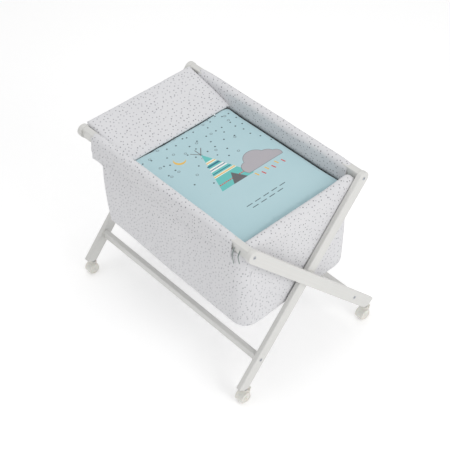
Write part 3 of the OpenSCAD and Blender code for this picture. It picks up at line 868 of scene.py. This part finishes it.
def make_base_board(material):
    """Plywood base on the basket's floor."""
    low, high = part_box("base_board")
    inset = Vector((0.004, 0.022, 0))
    obj = rounded_slab("plywood_base", low + inset, high - inset, 0.040, 0.0012, rings=2)
    settle(obj)
    obj.data.materials.append(material)
    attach(obj, "basket")
    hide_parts("base_board")
    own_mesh(obj)


# ---------- bedding ----------

def make_mattress(material):
    edge = Vector((0.004, 0.004, 0.004))
    obj = rounded_slab("mattress_pad", MATTRESS_LOW + edge, MATTRESS_HIGH - edge, 0.05, 0.018)
    inflate(obj, 0.007, 2.0, 0.004)
    pitch = 0.055
    for vertex in obj.data.vertices:
        x, y, z = vertex.co
        if abs(z - MATTRESS_HIGH.z) < 0.012 or abs(z - MATTRESS_LOW.z) < 0.012:
            u, v = (x + y) / pitch, (x - y) / pitch
            groove = max(math.exp(-((u - round(u)) * 9) ** 2), math.exp(-((v - round(v)) * 9) ** 2))
            vertex.co.z += 0.002 * groove * (-1 if z > (MATTRESS_LOW.z + MATTRESS_HIGH.z) / 2 else 1)
    return finish_cloth(settle(obj), "mattress", material, ["mattress"], BED_KEEP)


def make_duvet(material):
    """A plain duvet folded into layers, which fills the basket under the quilt."""
    layers = 4
    tall = (DUVET_HIGH.z - DUVET_LOW.z) / layers
    for number in range(layers):
        low = Vector((DUVET_LOW.x + 0.008, DUVET_LOW.y + 0.008, DUVET_LOW.z + number * tall + 0.003))
        high = Vector((DUVET_HIGH.x - 0.008, DUVET_HIGH.y - 0.008, DUVET_LOW.z + (number + 1) * tall - 0.003))
        obj = rounded_slab("duvet_layer_%d" % (number + 1), low, high, 0.05, 0.024)
        remesh = obj.modifiers.new("remesh", "REMESH")
        remesh.mode = "VOXEL"
        remesh.voxel_size = 0.012
        settle(obj)
        ripple(obj, 0.004, 0.06, number + 1)
        finish_cloth(obj, "bedding", material, ["duvet"], BED_KEEP)


def make_quilt(material):
    """Padded quilt, crowned over the bedding."""
    low = Vector((QUILT_LOW.x + 0.006, QUILT_LOW.y - 0.005, QUILT_LOW.z + 0.006))
    high = Vector((QUILT_HIGH.x + 0.006, QUILT_HIGH.y + 0.005, QUILT_HIGH.z - 0.008))
    obj = rounded_slab("quilt_top", low, high, 0.018, 0.007)
    inflate(obj, 0.006, 3.0, 0.009)
    cx, cy = (low.x + high.x) / 2, (low.y + high.y) / 2
    for vertex in obj.data.vertices:
        u = (vertex.co.x - cx) / (high.x - cx)
        v = (vertex.co.y - cy) / (high.y - cy)
        crown = max(0.0, 1 - u ** 4) * max(0.0, 1 - v ** 4)
        if vertex.co.z > (low.z + high.z) / 2:
            vertex.co.z += 0.004 * crown + 0.0012 * noise.noise(vertex.co * 9) * crown
    rounding = obj.modifiers.new("smooth", "SUBSURF")
    rounding.levels = rounding.render_levels = 1
    return finish_cloth(settle(obj), "bedding", material, ["quilt"], BED_KEEP)


def make_head_panel(material):
    """Turned-down panel that slopes from the quilt up onto the head roll, with its sides tucked down."""
    half = PANEL_HIGH.y + 0.006
    length = PANEL_HIGH.x - PANEL_LOW.x + 0.010
    rise = PANEL_HIGH.z - PANEL_LOW.z - 0.004
    rows = []
    for i in range(29):
        run = i / 28
        x = PANEL_HIGH.x - 0.006 - run * (length - 0.006)
        slope = 0.75 * run + 0.25 * math.sin(math.pi * run / 2)
        z = PANEL_LOW.z + 0.0095 - 0.0045 * math.exp(-run * length / 0.02) + rise * slope
        pinch = min(run, 1 - run) * length
        row = []
        for j in range(37):
            share = (j - 2) / 32
            y = -half + 2 * half * min(1.0, max(0.0, share))
            tuck = 0.020 * (max(0, 2 - j) + max(0, j - 34)) * smooth((pinch - 0.002) / 0.01)
            hem = min(share, 1 - share) * 2 * half
            puff = 0.005 * (1 - math.exp(-max(0.0, min(hem, pinch)) / 0.014))
            uneven = 0.0014 * noise.noise(Vector((x * 11, y * 11, 3)))
            row.append(Vector((x, y, z - 0.005 + puff + uneven - tuck)))
        rows.append(row)
    obj = loft("turned_down_panel", rows)
    thicken(obj, 0.008, 1)
    return finish_cloth(obj, "bedding", material, ["head_panel"], BED_KEEP)


def make_snap(place):
    """Press stud on the foot wall, turned about the X axis."""
    profile = ((0.0, 0.0004), (0.0028, 0.0004), (0.0031, 0.0010), (0.0024, 0.0017), (0.0010, 0.0015),
               (0.0001, 0.0012))
    rows = [[Vector((place.x + up, place.y + r * math.cos(a), place.z + r * math.sin(a)))
             for a in (math.radians(15 * k) for k in range(24))] for r, up in profile]
    obj = loft("press_stud", rows, closed=True)
    settle(obj)
    obj.data.materials.append(MATERIALS["steel"])
    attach(obj, "basket")
    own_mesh(obj)


# ---------- build ----------

make_camera()
make_studio()

DOTTED = cotton("dotted_cotton", (0.720, 0.720, 0.737), (0.700, 0.700, 0.719))
PLAIN = cotton("plain_cotton", (0.78, 0.78, 0.78), (0.75, 0.75, 0.76), dots=False)
TAPE = tape()

make_sleeve(-1, "sleeve_cloth_near", "sleeve_near", "frame_a", DOTTED)
make_sleeve(1, "sleeve_cloth_far", "sleeve_far", "frame_b", DOTTED)
make_walls(DOTTED)
make_corner_flap(-1, "corner_flap_near", DOTTED)
make_corner_flap(1, "corner_flap_far", DOTTED)
make_tie("corner_tie_1", 0.367, RAIL_NEAR.z + 0.002, 0.062, TAPE)
make_tie("corner_tie_2", 0.394, RAIL_NEAR.z + 0.006, 0.048, TAPE)
make_head_wall(DOTTED)
make_basket_floor(DOTTED)
make_mattress(ticking())
make_duvet(PLAIN)
make_quilt(quilt_print())
make_head_panel(DOTTED)

MATERIALS = {
    "leg_a": lacquered_wood("lacquer_leg_a", LEG_LEAN, 2),
    "leg_b": lacquered_wood("lacquer_leg_b", -LEG_LEAN, 2),
    "rail": lacquered_wood("lacquer_bar", 0.0, 0),
    "dowels": raw_wood("beech", (0.60, 0.40, 0.22), (0.47, 0.29, 0.15), 60.0),
    "base_board": raw_wood("plywood", (0.66, 0.49, 0.29), (0.52, 0.36, 0.19), 14.0),
    "insert": turned_brass(),
    "steel": plated_steel(),
    "plastic": moulded_plastic(),
}


def material_for(node):
    if node.startswith(("rail", "stretcher")):
        return MATERIALS["rail"]
    if node.startswith(("housing", "wheels", "brake")):
        return MATERIALS["plastic"]
    for key in ("leg_a", "leg_b", "dowels", "base_board", "insert"):
        if key in node:
            return MATERIALS[key]
    return MATERIALS["steel"]


make_base_board(MATERIALS["base_board"])
make_snap(Vector((FOOT_HIGH.x - 0.001, 0.197, ROLL_LOW.z + 0.012)))

for node_name, node_object in NODES.items():
    if not node_object.hide_render:
        node_object.data.materials.clear()
        node_object.data.materials.append(material_for(node_name))
